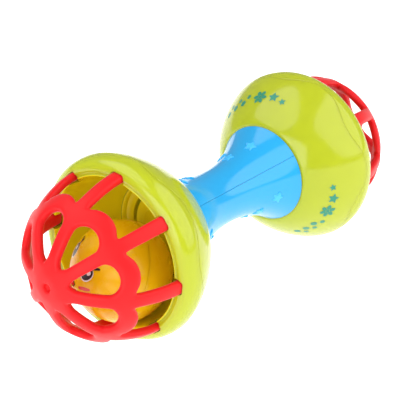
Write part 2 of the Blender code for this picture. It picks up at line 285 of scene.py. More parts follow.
def smooth_through(points, steps):
    """(radius, z) points on a smooth curve through the given ones."""
    ends = [points[0]] + list(points) + [points[-1]]
    curve = []
    for before, start, stop, after in zip(ends, ends[1:], ends[2:], ends[3:]):
        for i in range(steps):
            t = i / steps
            curve.append(tuple(
                0.5 * (2 * b + (c - a) * t + (2 * a - 5 * b + 4 * c - d) * t * t
                       + (3 * b - a - 3 * c + d) * t ** 3)
                for a, b, c, d in zip(before, start, stop, after)))
    return curve + [points[-1]]


def inward(outline, distance):
    """An outline moved sideways by a distance, to its right as it runs."""
    moved = []
    for i, point in enumerate(outline):
        before, after = outline[max(i - 1, 0)], outline[min(i + 1, len(outline) - 1)]
        along = Vector((after[0] - before[0], after[1] - before[1])).normalized()
        moved.append((point[0] + along.y * distance, point[1] - along.x * distance))
    return moved


# ---------------------------------------------------------------- mesh work


def turned(outline, segments, closed=True):
    """A bmesh spun right round Z from (radius, z) points."""
    bm = bmesh.new()
    verts = [bm.verts.new((radius, 0.0, z)) for radius, z in outline]
    pairs = list(zip(verts, verts[1:]))
    if closed:
        pairs.append((verts[-1], verts[0]))
    edges = [bm.edges.new(pair) for pair in pairs]
    bmesh.ops.spin(bm, geom=verts + edges, cent=(0, 0, 0), axis=(0, 0, 1), angle=math.tau,
                   steps=segments, use_merge=True)
    bmesh.ops.remove_doubles(bm, verts=bm.verts, dist=MERGE)
    bmesh.ops.recalc_face_normals(bm, faces=bm.faces)
    return bm


def edges_at(bm, z, beyond):
    """The edges at a height that lie further than a radius from the axis."""
    return [edge for edge in bm.edges
            if all(abs(vert.co.z - z) < SAME and vert.co.xy.length > beyond for vert in edge.verts)]


def round_edges(bm, edges, width, segments=2):
    bmesh.ops.bevel(bm, geom=edges, offset=width, segments=segments, profile=0.5,
                    affect="EDGES", material=-1, clamp_overlap=True)


def as_mesh(name, bm):
    """A mesh of a bmesh, which is then freed."""
    mesh = bpy.data.meshes.new(name)
    bm.to_mesh(mesh)
    bm.free()
    return mesh


def cut(bm, cutter):
    """A closed bmesh less another, as a new bmesh."""
    base = bpy.data.objects.new("base", as_mesh("base", bm))
    tool = bpy.data.objects.new("tool", as_mesh("tool", cutter))
    for obj in (base, tool):
        bpy.context.scene.collection.objects.link(obj)
    modifier = base.modifiers.new("cut", "BOOLEAN")
    modifier.operation = "DIFFERENCE"
    modifier.solver = "EXACT"
    modifier.object = tool
    graph = bpy.context.evaluated_depsgraph_get()
    mesh = bpy.data.meshes.new_from_object(base.evaluated_get(graph))
    for obj in (base, tool):
        bpy.data.objects.remove(obj)
    result = bmesh.new()
    result.from_mesh(mesh)
    bpy.data.meshes.remove(mesh)
    bmesh.ops.remove_doubles(result, verts=result.verts, dist=MERGE / 2)
    return result


def rattle_place(side):
    """From an end's own frame to the world: side -1 is the front, +1 the back."""
    lying = Matrix.Rotation(ROLL, 4, "X") @ Matrix.Rotation(math.pi / 2, 4, "Y")
    turn = Matrix.Rotation(0.0 if side > 0 else math.pi, 4, "X")
    return Matrix.Translation((0, 0, AXIS_HEIGHT)) @ lying @ turn


def add_piece(name, bm, place, material, body, nodes=(), sharp=35):
    """A finished piece: its place is baked in its mesh, and it stands for the named design nodes."""
    mesh = as_mesh(name, bm)
    mesh.transform(place)
    mesh.shade_smooth()
    mesh.set_sharp_from_angle(angle=math.radians(sharp))
    mesh.materials.append(material)
    piece = bpy.data.objects.new(name, mesh)
    bpy.context.scene.collection.objects.link(piece)
    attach(piece, body)
    if nodes:
        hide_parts(*nodes)
    return piece


# ---------------------------------------------------------------- materials


def moulded(name, colour, shade, roughness, grain_size, grain_depth,
            milky=0.0, specular=0.5, sheen=0.0):
    """A moulded plastic, whose colour drifts to a shade of itself, with uneven gloss and a fine grain."""
    material = bpy.data.materials.get(name)
    if material:
        return material
    material = bpy.data.materials.new(name)
    material.use_nodes = True
    material.diffuse_color = (*colour, 1.0)
    nodes, links = material.node_tree.nodes, material.node_tree.links
    shader = nodes["Principled BSDF"]
    shader.inputs["IOR"].default_value = 1.5
    shader.inputs["Specular IOR Level"].default_value = specular
    shader.inputs["Sheen Weight"].default_value = sheen
    shader.inputs["Sheen Roughness"].default_value = 0.35
    shader.inputs["Subsurface Weight"].default_value = milky
    shader.inputs["Subsurface Radius"].default_value = (1.0, 1.0, 0.6)
    shader.inputs["Subsurface Scale"].default_value = MILKY_DEPTH
    place = nodes.new("ShaderNodeTexCoord")
    drift = nodes.new("ShaderNodeTexNoise")
    drift.inputs["Scale"].default_value = 38.0
    drift.inputs["Detail"].default_value = 3.0
    tint = nodes.new("ShaderNodeMix")
    tint.data_type = "RGBA"
    tint.inputs["A"].default_value = (*[part * shade for part in colour], 1.0)
    tint.inputs["B"].default_value = (*colour, 1.0)
    scuffs = nodes.new("ShaderNodeTexNoise")
    scuffs.inputs["Scale"].default_value = 210.0
    scuffs.inputs["Detail"].default_value = 5.0
    gloss = nodes.new("ShaderNodeMapRange")
    gloss.inputs["From Min"].default_value = 0.35
    gloss.inputs["From Max"].default_value = 0.75
    gloss.inputs["To Min"].default_value = roughness
    gloss.inputs["To Max"].default_value = roughness + 0.07
    grain = nodes.new("ShaderNodeTexNoise")
    grain.inputs["Scale"].default_value = 1.0 / grain_size
    grain.inputs["Detail"].default_value = 2.0
    bump = nodes.new("ShaderNodeBump")
    bump.inputs["Strength"].default_value = 1.0
    bump.inputs["Distance"].default_value = grain_depth
    for texture in (drift, scuffs, grain):
        links.new(place.outputs["Object"], texture.inputs["Vector"])
    links.new(drift.outputs["Fac"], tint.inputs["Factor"])
    links.new(tint.outputs["Result"], shader.inputs["Base Color"])
    links.new(scuffs.outputs["Fac"], gloss.inputs["Value"])
    links.new(gloss.outputs["Result"], shader.inputs["Roughness"])
    links.new(grain.outputs["Fac"], bump.inputs["Height"])
    links.new(bump.outputs["Normal"], shader.inputs["Normal"])
    return material


def handle_plastic():
    colour = bpy.context.scene.rattle_colours.handle_blue
    return moulded("sky_blue_plastic", colour, 0.93, 0.10, 1.6 * MM, 0.006 * MM)


def star_plastic():
    # Painted highlight: the stars are the handle's own blue, drawn paler for the light that their flat tops
    # catch; their satin gloss comes from roughness.
    colour = [min(part * 1.25 + 0.02, 1.0) for part in bpy.context.scene.rattle_colours.handle_blue]
    return moulded("satin_highlit_blue_plastic", colour, 0.95, 0.34, 0.5 * MM, 0.012 * MM)


def bulb_plastic():
    colour = bpy.context.scene.rattle_colours.bulb_green
    return moulded("lime_green_plastic", colour, 0.93, 0.11, 1.8 * MM, 0.006 * MM, milky=0.6)


def bowl_plastic():
    # Painted light: the bulb green, brighter and warmer, for the bowls and their plugs, where light comes
    # through the wall and off the yellow ball.
    colour = bpy.context.scene.rattle_colours.bowl_lit_green
    return moulded("lit_through_green_plastic", colour, 0.93, 0.20, 1.8 * MM, 0.006 * MM,
                   specular=0.3)


def cage_gum():
    colour = bpy.context.scene.rattle_colours.cage_red
    return moulded("soft_red_gum", colour, 0.92, 0.42, 0.5 * MM, 0.010 * MM,
                   specular=0.22, sheen=0.16)


def ball_plastic():
    colour = bpy.context.scene.rattle_colours.ball_yellow
    return moulded("warm_yellow_plastic", colour, 0.93, 0.26, 1.8 * MM, 0.006 * MM,
                   milky=0.5, specular=0.3)


def bead_plastic():
    colour = bpy.context.scene.rattle_colours.bead_white
    return moulded("bead_white_plastic", colour, 0.95, 0.35, 0.6 * MM, 0.008 * MM)


def ink(name, colour):
    return moulded(name, colour, 0.85, 0.3, 0.4 * MM, 0.004 * MM)


# ---------------------------------------------------------------- pieces


def star_reach(radius, share=0.5):
    """A function that gives a five-pointed star's reach at an angle, its points slightly blunted."""
    tip = Vector((radius, 0.0))
    valley = Vector((radius * share * math.cos(math.pi / 5), radius * share * math.sin(math.pi / 5)))
    side = valley - tip

    def reach(angle):
        turn = angle % (math.tau / 5)
        turn = min(turn, math.tau / 5 - turn)
        straight = (tip.x * valley.y) / (math.cos(turn) * side.y - math.sin(turn) * side.x)
        return min(straight, 0.93 * radius)
    return reach


def patch(bm, reach, bottom, top, steps=60, rings=5):
    """A closed flat patch about the origin, from bottom to top, that reaches so far at each angle."""
    before = set(bm.verts)
    bmesh.ops.create_grid(bm, x_segments=steps, y_segments=rings, size=1.0)
    made = [vert for vert in bm.verts if vert not in before]
    for vert in made:
        angle, share = (vert.co.x + 1) * math.pi, (vert.co.y + 1) / 2
        length = share * reach(angle)
        vert.co = (length * math.cos(angle), length * math.sin(angle), bottom)
    bmesh.ops.remove_doubles(bm, verts=made, dist=reach(0.0) * 0.001)
    faces = [face for face in bm.faces if not before.intersection(face.verts)]
    for item in bmesh.ops.extrude_face_region(bm, geom=faces)["geom"]:
        if isinstance(item, bmesh.types.BMVert):
            item.co.z = top
    return [vert for vert in bm.verts if vert not in before]


def raised_star(bm, side, angle, z):
    """Adds a flat-topped star that stands on the handle, with bevelled edges, rooted in its wall."""
    star_height, root, slope = 0.42 * MM, 0.9 * MM, 0.45 * MM
    reach = star_reach(2.5 * MM, share=0.52)
    rise = (handle_radius(z + MM) - handle_radius(z - MM)) / (2 * MM)
    along = math.cos(math.atan(rise))
    for vert in patch(bm, reach, -root, star_height, rings=8):
        across, up = vert.co.y, vert.co.x
        if vert.co.z > 0:
            inset = reach(math.atan2(across, up)) - math.hypot(across, up)
            vert.co.z = star_height * min(0.1 + inset / slope, 1.0) - 0.04 * MM
        height = z + up * along
        lean = across / handle_radius(z)
        radius = handle_radius(height) + vert.co.z
        if vert.co.z > 0:
            radius = (handle_radius(z) + (height - z) * rise + vert.co.z) / math.cos(lean)
        turn = angle + lean
        vert.co = (side * radius * math.cos(turn), side * radius * math.sin(turn), height)


def handle_outline():
    """The hollow handle's section on one side of its axis, down the outside and back up the bore."""
    size = sizes()
    end = size.handle_end + 0.1 * MM
    wall = size.wall
    outline = [(handle_radius(z), z) for z in spread(end, -end, 72)]
    outline += [(handle_radius(z) - wall, z) for z in (-end, -WEB_END_Z)]
    outline += [(WEB_HOLE_RADIUS, -WEB_END_Z), (WEB_HOLE_RADIUS, -WEB_START_Z)]
    outline += [(handle_radius(z) - wall, z) for z in spread(-WEB_START_Z, WEB_START_Z, 24)]
    outline += [(WEB_HOLE_RADIUS, WEB_START_Z), (WEB_HOLE_RADIUS, WEB_END_Z)]
    outline += [(handle_radius(z) - wall, z) for z in (WEB_END_Z, end)]
    return outline


def handle_half(side):
    """Half a turn of the handle's section, with its parting edges rounded and its stars raised."""
    size = sizes()
    bm = bmesh.new()
    face = bm.faces.new([bm.verts.new((0.0, -radius, z)) for radius, z in handle_outline()])
    bmesh.ops.spin(bm, geom=[face] + face.edges[:] + face.verts[:], cent=(0, 0, 0),
                   axis=(0, 0, side), angle=math.pi, steps=size.segments // 3, use_merge=False)
    bmesh.ops.remove_doubles(bm, verts=bm.verts, dist=MERGE)
    bmesh.ops.recalc_face_normals(bm, faces=bm.faces)
    parting = [vert for vert in bm.verts if abs(vert.co.x) < MERGE]
    bmesh.ops.translate(bm, verts=parting, vec=(side * size.joint_gap / 2, 0, 0))
    outer_edges = [
        edge for edge in bm.edges
        if all(abs(vert.co.x) < size.joint_gap and vert.co.xy.length > handle_radius(vert.co.z) - 0.1 * MM
               for vert in edge.verts)
        and abs(edge.verts[0].co.y - edge.verts[1].co.y) < 2 * MM
    ]
    round_edges(bm, outer_edges, size.edge_round)
    stars = bmesh.new()
    for end in (-1, 1):
        for angle, z in STAR_PLACES:
            raised_star(stars, side, math.radians(angle), end * z)
    bmesh.ops.recalc_face_normals(stars, faces=stars.faces)
    # The stars take the second material: the handle's blue with a painted highlight.
    for face in stars.faces:
        face.material_index = 1
    joined = as_mesh("stars", stars)
    bm.from_mesh(joined)
    bpy.data.meshes.remove(joined)
    return bm


class RATTLE_OT_handle(bpy.types.Operator):
    """Builds the two moulded halves of the handle, with their raised stars"""

    bl_idname = "rattle.handle"
    bl_label = "Handle halves"

    def execute(self, context):
        for name, side in (("lower", 1), ("upper", -1)):
            half = add_piece(f"handle_{name}_moulding", handle_half(side), rattle_place(1),
                             handle_plastic(), "rattle", [f"handle_{name}_half"])
            # The second material, for the stars, is the handle's blue with a painted highlight.
            half.data.materials.append(star_plastic())
        return {"FINISHED"}


def follow_seam(bm, edge_z):
    """Swings the rows near the seam to its scalloped line, kept on the bulb's outside."""
    size, skin = sizes(), 4.5 * MM
    for vert in bm.verts:
        reach = SEAM_REACH_ABOVE if vert.co.z > edge_z else SEAM_REACH_BELOW
        near = 1.0 - abs(vert.co.z - edge_z) / reach
        if near <= 0 or vert.co.xy.length < size.bulb_radius - skin:
            continue
        angle = math.atan2(vert.co.y, vert.co.x)
        ease = near * near * (3 - 2 * near) if edge_z < vert.co.z else near ** 1.5
        z = vert.co.z + size.seam_wave * math.cos(SEAM_WAVES * angle) * ease
        radius = vert.co.xy.length
        scale = (radius + outside_radius(z) - outside_radius(vert.co.z)) / radius
        vert.co = (vert.co.x * scale, vert.co.y * scale, z)


def outer_shell():
    """The rear wall of a bulb, from the handle to the seam."""
    size = sizes()
    edge_z = size.seam_z - size.joint_gap / 2
    turns = spread(bulb_turn(edge_z), bulb_turn(size.handle_end + 0.3 * MM), 44)
    outer = [bulb_point(turn) for turn in turns]
    inner = inward(outer, size.wall)[::-1]
    lip = [(SHELL_HOLE_RADIUS, outer[-1][1]), (SHELL_HOLE_RADIUS, inner[0][1])]
    inner[-1] = (inner[-1][0], edge_z)
    bm = turned(outer + lip + inner, size.segments)
    round_edges(bm, edges_at(bm, edge_z, outer[0][0] - 0.1 * MM), size.edge_round)
    follow_seam(bm, edge_z)
    return bm


class RATTLE_OT_bulb_shells(bpy.types.Operator):
    """Builds the rear shell of each bulb, up to its scalloped seam"""

    bl_idname = "rattle.bulb_shells"
    bl_label = "Bulb shells"

    def execute(self, context):
        for end, side in ENDS:
            add_piece(f"{end}_bulb_shell", outer_shell(), rattle_place(side), bulb_plastic(),
                      "rattle", [f"{end}_outer_shell"])
        return {"FINISHED"}


def rim_cup_outline(edge_z):
    """Up the outside from the seam, over the rim and its lip, down the bowl to the neck, and back."""
    size = sizes()
    low = [(outside_radius(z), z) for z in spread(edge_z, size.bulb_widest + 0.9 * MM, 8)]
    start = math.asin(((low[-1][1] - size.bulb_widest) / (RIM_TOP_Z - size.bulb_widest)) ** (1 / RIM_POWER))
    round_face = [rim_point(turn) for turn in spread(start, math.radians(76.5), 30)[1:]]
    lip = [(27.35, 51.93), (27.1, 51.78), (26.7, 51.68), (26.3, 51.62), (26.15, 51.66), (26.08, 51.8),
           (25.95, 51.88), (25.75, 51.86), (25.6, 51.72), (25.52, 51.45)]
    bowl = smooth_through([(25.45, 50.6), (25.3, 48.0), (24.6, 44.0), (23.1, 39.5), (20.6, 35.0),
                           (17.6, 31.0), (16.6, 29.7)], 5)
    ring = [(16.45, 29.75), (16.1, 29.9), (15.6, 29.8), (15.2, 29.4), (14.9, 28.8), (12.5, 28.4),
            (12.25, 28.2), (12.2, 26.6)]
    neck = [(8.0, 26.6), (8.0, 20.3), (11.0, 20.3), (11.0, 21.5), (9.7, 21.5), (9.7, 25.7), (13.6, 25.7)]
    back = [(13.6, 26.6), (15.6, 27.1), (18.7, 29.9), (21.8, 33.8), (24.3, 38.4), (26.0, 43.0),
            (26.7, 47.0), (27.2, 49.4), (28.0, 50.3), (29.2, 49.4), (29.5, 47.4)]
    points = [(radius * MM, z * MM) for radius, z in lip + bowl + ring + neck + back]
    return low + round_face + points + [(size.bulb_radius - 1.9 * MM, edge_z)]


def rib_pockets(side):
    """Round-cornered blocks that cut the pocket of each rib into the rim."""
    size, clearance = cage_sizes(), 0.03 * MM
    inner, outer = size.radius - size.wall - 2 * MM, size.radius + clearance
    bottom, top = CAGE_FOOT_Z - clearance, RIM_TOP_Z + 2 * MM
    block = Vector((outer - inner, size.rib_at_rim + 2 * clearance, top - bottom))
    bm = bmesh.new()
    for rib in range(RIBS):
        corners = bmesh.ops.create_cube(bm, size=1.0)["verts"]
        place = (Matrix.Translation(((inner + outer) / 2, 0, (bottom + top) / 2))
                 @ Matrix.Diagonal((*block, 1.0)))
        bmesh.ops.transform(bm, matrix=place, verts=corners)
        upright = [edge for edge in {edge for vert in corners for edge in vert.link_edges}
                   if all(vert.co.x > inner + MM for vert in edge.verts)
                   and abs(edge.verts[0].co.z - edge.verts[1].co.z) > MM]
        before = set(bm.verts) - set(corners)
        round_edges(bm, upright, size.pocket_round + clearance, segments=4)
        turn = Matrix.Rotation(math.tau * rib / RIBS + CAGE_TURN * side, 4, "Z")
        bmesh.ops.transform(bm, matrix=turn, verts=[vert for vert in bm.verts if vert not in before])
    return bm


def inside_bowl(face):
    """Whether a cup's face is on the inside of its bowl, which has the second material: the bulb green with
    painted light.
    """
    middle = face.calc_center_median()
    faces_axis = face.normal.xy.dot(middle.xy) < 0
    return middle.xy.length < RIM_INNER_RADIUS and faces_axis and face.normal.z > -0.2


class RATTLE_OT_rim_cups(bpy.types.Operator):
    """Builds the cup of each bulb: the rolled rim with its rib pockets, the bowl and the neck"""

    bl_idname = "rattle.rim_cups"
    bl_label = "Rim cups"

    def execute(self, context):
        size = sizes()
        edge_z = size.seam_z + size.joint_gap / 2
        for end, side in ENDS:
            bm = turned(rim_cup_outline(edge_z), size.segments)
            round_edges(bm, edges_at(bm, edge_z, size.bulb_radius - MM), size.edge_round)
            follow_seam(bm, edge_z)
            bm = cut(bm, rib_pockets(side))
            for face in bm.faces:
                face.material_index = int(inside_bowl(face))
            cup = add_piece(f"{end}_bulb_cup", bm, rattle_place(side), bulb_plastic(),
                            "rattle", [f"{end}_rim_cup"])
            # The inside of the bowl takes the bulb green with painted light.
            cup.data.materials.append(bowl_plastic())
        return {"FINISHED"}


def cage_rows(across):
    """(radius, z) and rib width down the cage's rows, across from 0 at one rib's edge to 1 at the next."""
    size, top = cage_sizes(), sizes().half_length
    bulge = math.sin(math.pi * min(max(across, 0.0), 1.0)) ** 0.7
    ring = RING_AT_RIBS + (RING_AT_WINDOWS - RING_AT_RIBS) * bulge
    outer, inner = ring - RING_HALF_WIDTH, ring + RING_HALF_WIDTH
    hub = HUB_EDGE - 0.05 + 0.06 * bulge
    turns = (0.0, 0.22, outer - FILLET_REACH, outer, ring, inner, inner + FILLET_REACH, 0.98,
             hub - FILLET_REACH, hub)
    rows = [(size.radius, CAGE_FOOT_Z, 0.0)] + [(*cage_point(turn), turn) for turn in turns]
    dimple, floor = size.dimple_radius, top - size.dimple_depth
    middle = [(6.6 * MM, cage_point(1.34)[1]), (HUB_FLAT_RADIUS, top - 0.12 * MM), (2.7 * MM, top),
              (dimple + 0.35 * MM, top), (dimple, top - 0.25 * MM),
              (dimple - 0.2 * MM, top - 0.8 * size.dimple_depth), (dimple - 0.6 * MM, floor), (0.0, floor)]
    return rows + [(radius, z, HUB_EDGE) for radius, z in middle]


def cage_inside(point):
    """The point of the cage's inner face behind a point of its outer one."""
    size, half_length = cage_sizes(), sizes().half_length
    radius = point.xy.length
    if radius < HUB_FLAT_RADIUS + 0.1 * MM:
        return Vector((point.x, point.y, half_length - size.wall))
    rise = max(point.z - size.start, 0.0) / (half_length - size.start) ** 2
    normal = Vector((point.x, point.y, rise * size.radius ** 2)).normalized()
    return point - normal * size.wall


def cage_shape(side):
    """The cage as a coarse closed shape: eight ribs, the flower ring and the hub, with open windows."""
    size = cage_sizes()
    # From one rib's middle to the next: half a rib, the cells of the windows and half the next rib.
    cells, window_rows = 6, (0, 1, 2, 3, 6, 7, 8, 9)
    columns, rows = cells + 2, len(cage_rows(0.0)) - 1
    sector = math.tau / RIBS
    bm = bmesh.new()
    bmesh.ops.create_grid(bm, x_segments=columns, y_segments=rows, size=1.0)
    windows = []
    for face in bm.faces:
        middle = face.calc_center_median()
        column = int((middle.x + 1) / 2 * columns)
        row = int((middle.y + 1) / 2 * rows)
        if 1 <= column <= cells and row in window_rows:
            windows.append(face)
    bmesh.ops.delete(bm, geom=windows, context="FACES")
    for vert in bm.verts:
        column = round((vert.co.x + 1) / 2 * columns)
        row = round((vert.co.y + 1) / 2 * rows)
        across = (column - 1) / cells
        radius, z, turn = cage_rows(across)[row]
        width = size.rib_at_rim + (size.rib_at_hub - size.rib_at_rim) * turn / HUB_EDGE
        edge = math.asin(width / 2 / max(radius, cage_point(HUB_EDGE)[0]))
        angle = edge + (sector - 2 * edge) * across
        if column in (0, columns):
            angle = sector * column / columns
        vert.co = (radius * math.cos(angle), radius * math.sin(angle), z)
    bmesh.ops.spin(bm, geom=bm.verts[:] + bm.edges[:] + bm.faces[:], cent=(0, 0, 0), axis=(0, 0, 1),
                   angle=sector * (RIBS - 1), steps=RIBS - 1, use_duplicate=True)
    bmesh.ops.remove_doubles(bm, verts=bm.verts, dist=MERGE)
    hold = bm.edges.layers.float.new("crease_edge")
    for edge in bm.edges:
        if edge.is_boundary:
            edge[hold] = size.edge_hold
    for item in bmesh.ops.extrude_face_region(bm, geom=bm.faces[:])["geom"]:
        if isinstance(item, bmesh.types.BMVert):
            item.co = cage_inside(item.co)
    bmesh.ops.recalc_face_normals(bm, faces=bm.faces)
    bmesh.ops.rotate(bm, verts=bm.verts, cent=(0, 0, 0),
                     matrix=Matrix.Rotation(CAGE_TURN * side, 3, "Z"))
    return bm


class RATTLE_OT_cages(bpy.types.Operator):
    """Builds the soft openwork cage of each bulb"""

    bl_idname = "rattle.cages"
    bl_label = "Cages"

    def execute(self, context):
        for end, side in ENDS:
            cage = add_piece(f"{end}_cage_moulding", cage_shape(side), rattle_place(side), cage_gum(),
                             "rattle", [f"{end}_cage"], sharp=180)
            soft = cage.modifiers.new("soft shape", "SUBSURF")
            soft.levels = 2
            soft.render_levels = 2
        return {"FINISHED"}


def base_plug():
    """The disc in the bottom of the bowl, with a low raised ring and the stem that closes the neck."""
    outline = [(0.0, 28.55), (6.6, 28.55), (6.9, 28.75), (7.4, 28.75), (7.7, 28.55), (10.2, 28.55),
               (10.7, 28.45), (11.0, 28.2), (11.1, 27.9), (11.1, 27.5), (7.7, 27.5), (7.7, 22.0),
               (0.0, 22.0)]
    return turned([(radius * MM, z * MM) for radius, z in outline], 96, closed=False)


class RATTLE_OT_base_plugs(bpy.types.Operator):
    """Builds the round plug in the bottom of each cup"""

    bl_idname = "rattle.base_plugs"
    bl_label = "Base plugs"

    def execute(self, context):
        for end, side in ENDS:
            # The plug takes the bulb green with painted light, as the bowl does.
            add_piece(f"{end}_cup_plug", base_plug(), rattle_place(side), bowl_plastic(),
                      "rattle", [f"{end}_base_plug"])
        return {"FINISHED"}


def ball_centre(end):
    """The middle of a ball, from its two halves."""
    low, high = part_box(f"{end}_ball_face_half")
    other_low, other_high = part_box(f"{end}_ball_rear_half")
    corners = (low, high, other_low, other_high)
    return Vector([(min(c[i] for c in corners) + max(c[i] for c in corners)) / 2 for i in range(3)])


def ball_face(side):
    """The direction that a ball's printed face looks in."""
    return Vector((side * 0.85, 0.351, 0.393)).normalized()


def ball_half():
    """Half a hollow ball, which stands on its seam."""
    size = ball_sizes()
    gap = size.seam_gap / 2
    inner_radius = size.radius - size.wall
    outline = []
    for turn in spread(math.pi / 2, math.asin(gap / size.radius), 40):
        outline.append((size.radius * math.cos(turn), size.radius * math.sin(turn)))
    for turn in spread(math.asin(gap / inner_radius), math.pi / 2, 20):
        outline.append((inner_radius * math.cos(turn), inner_radius * math.sin(turn)))
    bm = turned(outline, 128, closed=False)
    round_edges(bm, edges_at(bm, gap, size.radius - 0.1 * MM), size.seam_round)
    return bm


class RATTLE_OT_balls(bpy.types.Operator):
    """Builds the two half shells of each rattle ball"""

    bl_idname = "rattle.balls"
    bl_label = "Rattle balls"

    def execute(self, context):
        for end, side in ENDS:
            centre = Matrix.Translation(ball_centre(end))
            for half, face in (("face", ball_face(side)), ("rear", -ball_face(side))):
                place = centre @ face.to_track_quat("Z", "Y").to_matrix().to_4x4()
                add_piece(f"{end}_ball_{half}_shell", ball_half(), place, ball_plastic(),
                          f"{end}_ball", [f"{end}_ball_{half}_half"])
        return {"FINISHED"}


class RATTLE_OT_beads(bpy.types.Operator):
    """Builds the loose beads that rattle in each ball"""

    bl_idname = "rattle.beads"
    bl_label = "Beads"

    def execute(self, context):
        for end, _side in ENDS:
            for number in (1, 2, 3):
                low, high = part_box(f"{end}_bead_{number}")
                bm = bmesh.new()
                bmesh.ops.create_uvsphere(bm, u_segments=24, v_segments=16, radius=(high.z - low.z) / 2)
                round_edges(bm, edges_at(bm, 0.0, 0.0), 0.06 * MM)
                add_piece(f"{end}_rattle_bead_{number}", bm, Matrix.Translation((low + high) / 2),
                          bead_plastic(), f"{end}_beads", [f"{end}_bead_{number}"])
        return {"FINISHED"}


# ---------------------------------------------------------------- print


def on_ball(bm, verts, centre, sideways, upwards, face):
    """Wraps flat points, in millimetres across and up the face, on the ball."""
    radius = ball_sizes().radius
    for vert in verts:
        direction = face + (vert.co.x * sideways + vert.co.y * upwards) / (radius / MM)
        vert.co = centre + direction.normalized() * (radius + vert.co.z)


def spot(bm, width, height, middle=(0.0, 0.0), tilt=0.0, lift=1.0, steps=32):
    """A flat printed oval, whose top stands so many ink thicknesses high."""
    ink_height = ball_sizes().print_lift
    made = patch(bm, lambda angle: 0.5, -ink_height, ink_height * lift, steps)
    place = (Matrix.Translation((*middle, 0)) @ Matrix.Rotation(tilt, 4, "Z")
             @ Matrix.Diagonal((width, height, 1, 1)))
    bmesh.ops.transform(bm, matrix=place, verts=made)
    return made


def stroke(bm, points, width):
    """A printed line along a curve through a few flat points, narrower towards its ends."""
    taper, ink_height = 0.35, ball_sizes().print_lift
    route = [Vector(point) for point in smooth_through(points, 6)]
    before = set(bm.verts)
    bmesh.ops.create_grid(bm, x_segments=len(route) - 1, y_segments=1, size=0.5)
    made = [vert for vert in bm.verts if vert not in before]
    for vert in made:
        step = round((vert.co.x + 0.5) * (len(route) - 1))
        along = (route[min(step + 1, len(route) - 1)] - route[max(step - 1, 0)]).normalized()
        share = taper + (1 - taper) * math.sin(math.pi * step / (len(route) - 1)) ** 0.6
        across = Vector((-along.y, along.x)) * (width * share * (1 if vert.co.y > 0 else -1) / 2)
        vert.co = (*(route[step] + across), ink_height)
    faces = {face for vert in made for face in vert.link_faces}
    bmesh.ops.solidify(bm, geom=list(faces), thickness=2 * ink_height)


def mirrored(points):
    return [(-x, y) for x, y in points]


def face_print(bm_black, bm_white, bm_red):
    """A friendly face, in millimetres from its middle: two eyes with lashes, a beak and a smile."""
    eye_tilt, fine = -0.49, 40
    for side in (-1, 1):
        spot(bm_white, 4.6, 6.2, (side * 6.5, 1.1), side * eye_tilt, 0.6, fine)
        spot(bm_black, 4.0, 5.6, (side * 6.4, 1.3), side * eye_tilt, 1.2, fine)
        spot(bm_white, 1.3, 1.9, (side * 6.9, 2.0), side * eye_tilt, 2.0, fine)
        lashes = ([(7.0, 3.6), (7.3, 4.9), (7.2, 6.4)], [(7.4, 4.4), (8.4, 5.6), (9.9, 6.6)])
        for lash in lashes:
            stroke(bm_black, lash if side > 0 else mirrored(lash), 1.0)
        smile = [(5.4, -5.9), (7.1, -4.9), (9.2, -3.8), (11.0, -2.9)]
        stroke(bm_red, smile if side > 0 else mirrored(smile), 1.7)
    spot(bm_black, 6.1, 4.6, (0.0, -7.0), steps=fine)
    spot(bm_red, 5.0, 3.5, (0.0, -7.1), lift=2.0, steps=fine)


class RATTLE_OT_ball_print(bpy.types.Operator):
    """Prints a friendly face on each rattle ball"""

    bl_idname = "rattle.ball_print"
    bl_label = "Ball print"

    def execute(self, context):
        inks = (("black", ink("face_black_ink", (0.008, 0.007, 0.010))),
                ("white", ink("face_white_ink", (0.85, 0.85, 0.83))),
                ("red", ink("face_red_ink", (0.74, 0.030, 0.012))))
        for end, side in ENDS:
            face = ball_face(side)
            upwards = Vector((0.233 * -side, -0.418, 0.878))
            upwards = (upwards - upwards.dot(face) * face).normalized()
            sideways = upwards.cross(face) * -1
            prints = [bmesh.new() for _ in inks]
            face_print(*prints)
            for (colour, material), bm in zip(inks, prints):
                bmesh.ops.recalc_face_normals(bm, faces=bm.faces)
                on_ball(bm, bm.verts, ball_centre(end), sideways, upwards, face)
                bmesh.ops.recalc_face_normals(bm, faces=bm.faces)
                add_piece(f"{end}_ball_{colour}_print", bm, Matrix.Identity(4), material, f"{end}_ball")
        return {"FINISHED"}


def printed_star(bm, radius):
    """A flat star, one ink thickness high."""
    lift = ball_sizes().print_lift
    return patch(bm, star_reach(radius, share=0.46), -lift, lift)


def wrap_on_bulb(verts, angle, z=PRINT_Z, turn=0.0):
    """Wraps flat points on a bulb: x runs round it and y outwards along it, from an angle and a height."""
    radius, _ = bulb_point(bulb_turn(z))
    start = bulb_turn(z)
    step = 0.001
    ahead, behind = bulb_point(start + step), bulb_point(start - step)
    pace = math.hypot(ahead[0] - behind[0], ahead[1] - behind[1]) / (2 * step)
    slope = Vector((ahead[0] - behind[0], ahead[1] - behind[1])).normalized()
    for vert in verts:
        flat = Matrix.Rotation(turn, 2) @ vert.co.xy
        here, height = bulb_point(start + flat.y / pace)
        here += slope.y * vert.co.z
        height -= slope.x * vert.co.z
        where = angle + flat.x / radius
        vert.co = (here * math.cos(where), here * math.sin(where), height)


